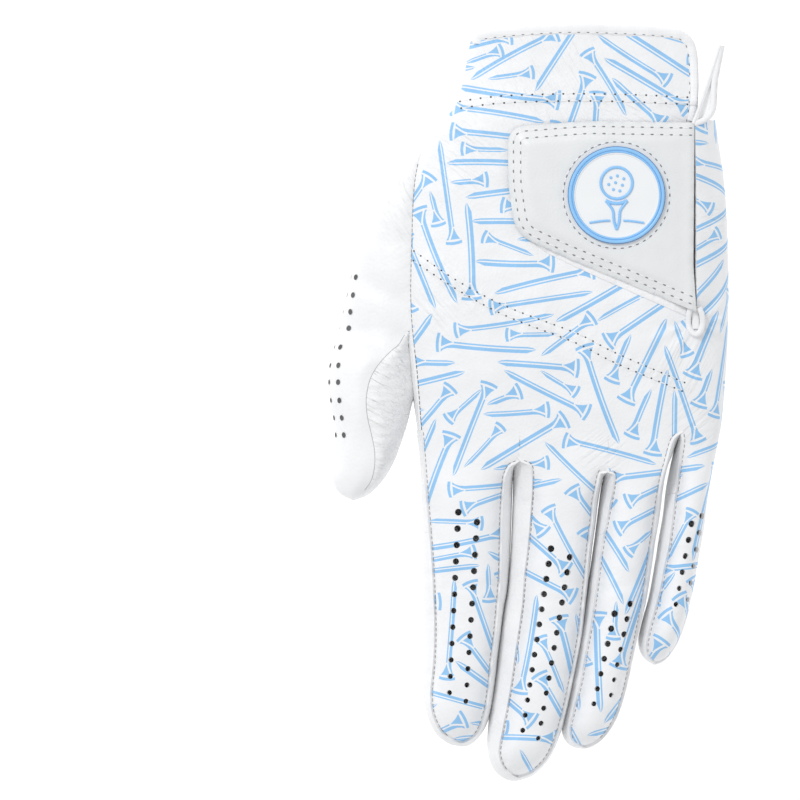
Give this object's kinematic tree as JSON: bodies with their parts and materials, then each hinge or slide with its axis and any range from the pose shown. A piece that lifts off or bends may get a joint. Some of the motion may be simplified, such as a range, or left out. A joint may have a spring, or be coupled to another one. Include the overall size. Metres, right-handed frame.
{
  "type": "golf glove",
  "caption": "Left-hand golf glove of soft printed leather with jointed fingers and thumb, an elastic cuff, a wrist opening and a hook-and-loop tab with a round badge.",
  "frame": {"origin": "centre of the glove's bounding box at the surface it lies on, palm down", "axes": "+Z out of the back of the hand, +Y from the fingertips to the wrist, -X on the thumb's side"},
  "size_m": [0.1123, 0.2116, 0.0259],
  "materials": {
    "printed_leather": "white sheepskin printed with scattered pale blue golf tees",
    "white_leather": "soft white sheepskin, fine grain",
    "fourchette_leather": "thinner soft white sheepskin",
    "tab_synthetic": "smooth white synthetic leather",
    "binding_tape": "soft white folded tape",
    "elastic": "white woven elastic",
    "hook": "white hook tape",
    "loop": "white fuzzy loop fabric",
    "lining": "white woven lining",
    "badge_white": "moulded soft plastic",
    "badge_blue": "moulded soft blue plastic"
  },
  "bodies": {
    "hand": {"back_panel": "printed_leather", "cuff_binding": "binding_tape", "knuckle_elastic": "elastic", "loop_patch": "loop", "palm_panel": "white_leather", "slit_binding": "binding_tape", "thenar_panel": "white_leather", "wrist_elastic": "elastic", "wrist_side": "white_leather"},
    "index_base": {"index_back": "printed_leather", "index_fourchette": "fourchette_leather", "index_front": "white_leather", "index_side": "white_leather"},
    "index_tip": {"index_tip_back": "printed_leather", "index_tip_fourchette": "fourchette_leather", "index_tip_front": "white_leather", "index_tip_side": "white_leather"},
    "middle_base": {"middle_back": "printed_leather", "middle_fourchette_left": "fourchette_leather", "middle_fourchette_right": "fourchette_leather", "middle_front": "white_leather"},
    "middle_tip": {"middle_tip_back": "printed_leather", "middle_tip_fourchette_left": "fourchette_leather", "middle_tip_fourchette_right": "fourchette_leather", "middle_tip_front": "white_leather"},
    "ring_base": {"ring_back": "printed_leather", "ring_fourchette_left": "fourchette_leather", "ring_fourchette_right": "fourchette_leather", "ring_front": "white_leather"},
    "ring_tip": {"ring_tip_back": "printed_leather", "ring_tip_fourchette_left": "fourchette_leather", "ring_tip_fourchette_right": "fourchette_leather", "ring_tip_front": "white_leather"},
    "little_base": {"little_back": "printed_leather", "little_fourchette": "fourchette_leather", "little_front": "white_leather", "little_side": "printed_leather"},
    "little_tip": {"little_tip_back": "printed_leather", "little_tip_fourchette": "fourchette_leather", "little_tip_front": "white_leather", "little_tip_side": "printed_leather"},
    "thumb_base": {"thumb_back": "white_leather", "thumb_front": "white_leather"},
    "thumb_tip": {"thumb_tip_back": "white_leather", "thumb_tip_front": "white_leather"},
    "wrist_flap": {"side_panel": "printed_leather", "cuff_side": "white_leather", "cuff_side_binding": "binding_tape"},
    "closure_tab": {"tab_skin": "tab_synthetic", "tab_lining": "lining", "hook_patch": "hook", "badge_base": "badge_white", "badge_ring": "badge_blue", "badge_motif": "badge_blue"}
  },
  "joints": [
    {"name": "index_knuckle", "type": "hinge", "parent": "hand", "child": "index_base", "pos_m": [-0.0183, -0.02015, 0], "axis": [0.9982, -0.0604, 0], "range_deg": [0, 80]},
    {"name": "index_middle_joint", "type": "hinge", "parent": "index_base", "child": "index_tip", "pos_m": [-0.0191, -0.05215, 0], "axis": [0.9982, -0.0604, 0], "range_deg": [0, 90]},
    {"name": "middle_knuckle", "type": "hinge", "parent": "hand", "child": "middle_base", "pos_m": [0.0065, -0.02015, 0], "axis": [0.9919, -0.1269, 0], "range_deg": [0, 80]},
    {"name": "middle_middle_joint", "type": "hinge", "parent": "middle_base", "child": "middle_tip", "pos_m": [0.0021, -0.05615, 0], "axis": [0.9919, -0.1269, 0], "range_deg": [0, 90]},
    {"name": "ring_knuckle", "type": "hinge", "parent": "hand", "child": "ring_base", "pos_m": [0.0279, -0.02015, 0], "axis": [0.9856, -0.169, 0], "range_deg": [0, 80]},
    {"name": "ring_middle_joint", "type": "hinge", "parent": "ring_base", "child": "ring_tip", "pos_m": [0.0233, -0.05215, 0], "axis": [0.9856, -0.169, 0], "range_deg": [0, 90]},
    {"name": "little_knuckle", "type": "hinge", "parent": "hand", "child": "little_base", "pos_m": [0.0455, -0.01175, 0], "axis": [0.9846, -0.1747, 0], "range_deg": [0, 80]},
    {"name": "little_middle_joint", "type": "hinge", "parent": "little_base", "child": "little_tip", "pos_m": [0.0411, -0.03815, 0], "axis": [0.9846, -0.1747, 0], "range_deg": [0, 90]},
    {"name": "thumb_base_joint", "type": "hinge", "parent": "hand", "child": "thumb_base", "pos_m": [-0.0447, 0.01885, 0], "axis": [0.9923, -0.124, 0], "range_deg": [0, 45]},
    {"name": "thumb_tip_joint", "type": "hinge", "parent": "thumb_base", "child": "thumb_tip", "pos_m": [-0.0463, -0.00415, 0], "axis": [0.9923, -0.124, 0], "range_deg": [0, 60]},
    {"name": "wrist_opening", "type": "hinge", "parent": "hand", "child": "wrist_flap", "pos_m": [0.05144, 0.02185, 0.0012], "axis": [-0.0636, 0.998, 0], "range_deg": [0, 30]},
    {"name": "tab_root", "type": "hinge", "parent": "wrist_flap", "child": "closure_tab", "pos_m": [0.0445, 0.04985, 0.0215], "axis": [0, 1, 0], "range_deg": [0, 165]}
  ]
}
